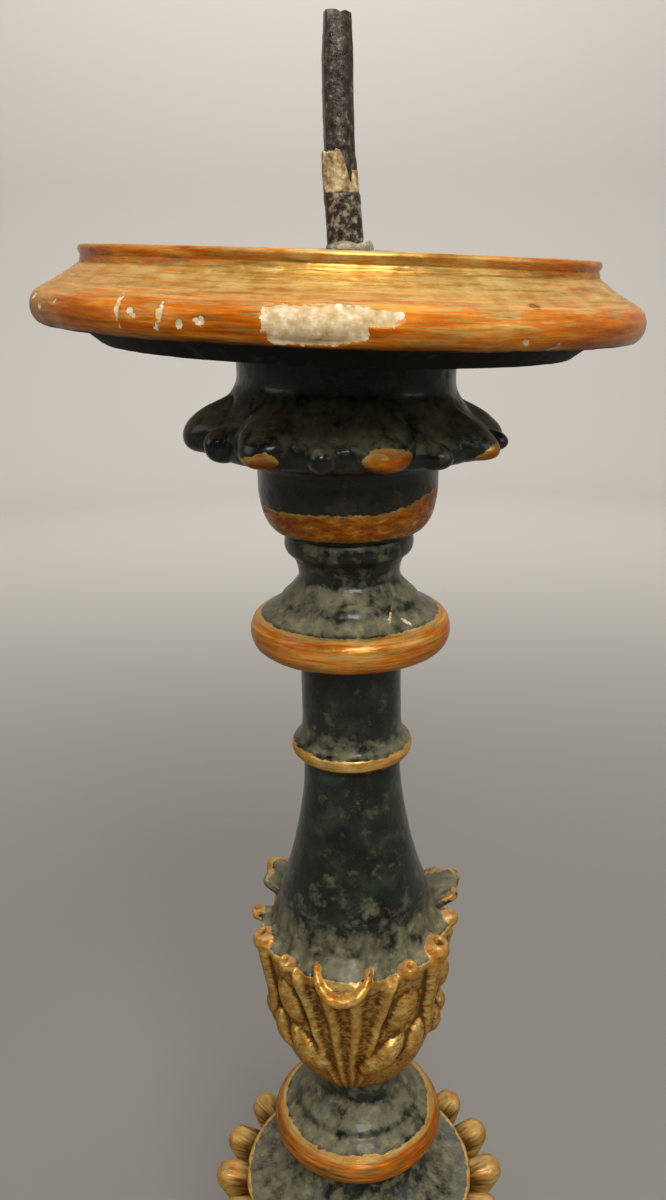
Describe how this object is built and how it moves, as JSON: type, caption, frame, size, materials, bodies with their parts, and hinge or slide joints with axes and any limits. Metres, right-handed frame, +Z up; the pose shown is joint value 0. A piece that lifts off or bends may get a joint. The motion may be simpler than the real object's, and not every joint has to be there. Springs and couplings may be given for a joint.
{
  "type": "wooden candlestick",
  "caption": "Turned and carved wooden pricket candlestick, painted dark and parcel gilt, with a round drip pan and an iron spike that holds one candle.",
  "frame": {"origin": "on the stem's axis, in the plane of the surface that the foot stands on", "axes": "+Z up along the stem towards the spike; -Y is the front, +X to the right seen from the front"},
  "size_m": [0.2003, 0.2, 0.6981],
  "materials": {
    "gilded_wood": "worn water gilding over orange bole on carved wood",
    "painted_wood": "aged dark green-black paint with gilt edges, dusty in the hollows",
    "iron": "dark forged iron, stained with wax",
    "paper": "brittle yellowed paper",
    "wax": "old dusty candle wax"
  },
  "bodies": {
    "root": {"base_plinth": "gilded_wood", "base_bell": "painted_wood", "base_collar": "painted_wood", "fluted_cup": "gilded_wood", "lower_knop": "painted_wood", "leaf_calyx": "gilded_wood", "vase_stem": "painted_wood", "upper_knop": "painted_wood", "lobed_capital": "painted_wood", "drip_pan": "gilded_wood", "spike_plate": "iron", "pricket_spike": "iron", "paper_wrap": "paper", "wax_crust": "wax"}
  },
  "joints": []
}
